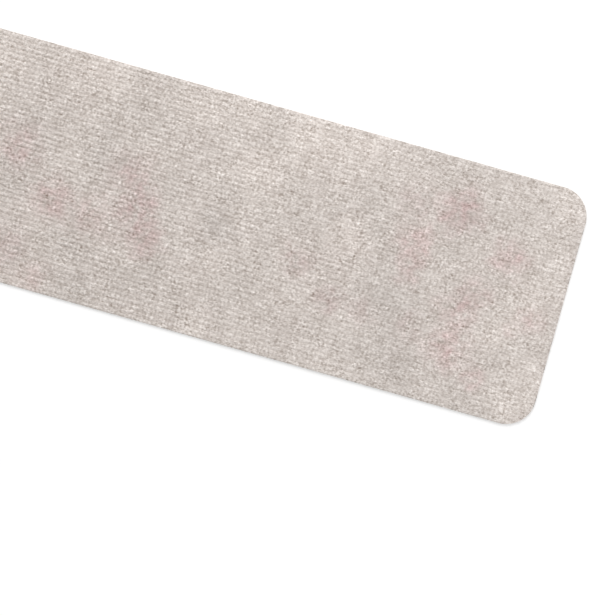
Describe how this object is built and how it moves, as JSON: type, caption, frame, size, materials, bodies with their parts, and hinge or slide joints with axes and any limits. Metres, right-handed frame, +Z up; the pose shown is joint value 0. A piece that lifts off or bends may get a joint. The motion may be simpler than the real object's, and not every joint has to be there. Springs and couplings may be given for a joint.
{
  "type": "anti slip stair tread mat",
  "caption": "Long flat strip of ribbed felt with rounded corners, an adhesive back and a clear release film, laid on a stair tread for grip underfoot.",
  "frame": {"origin": "middle of the underside, on the face that the mat lies on", "axes": "+X along the mat's length and its ribs, +Y across its width, +Z up through the ribbed face"},
  "size_m": [0.762, 0.203, 0.003],
  "materials": {
    "ribbed_felt": "beige needle felt, matt and fibrous, with fine ribs along its length and small staggered stitch marks on each rib",
    "white_adhesive": "white, smooth and slightly tacky",
    "clear_film": "clear thin film, glossy, with a faint crinkle"
  },
  "bodies": {
    "root": {"carpet_face": "ribbed_felt", "adhesive_backing": "white_adhesive", "release_film": "clear_film"}
  },
  "joints": []
}
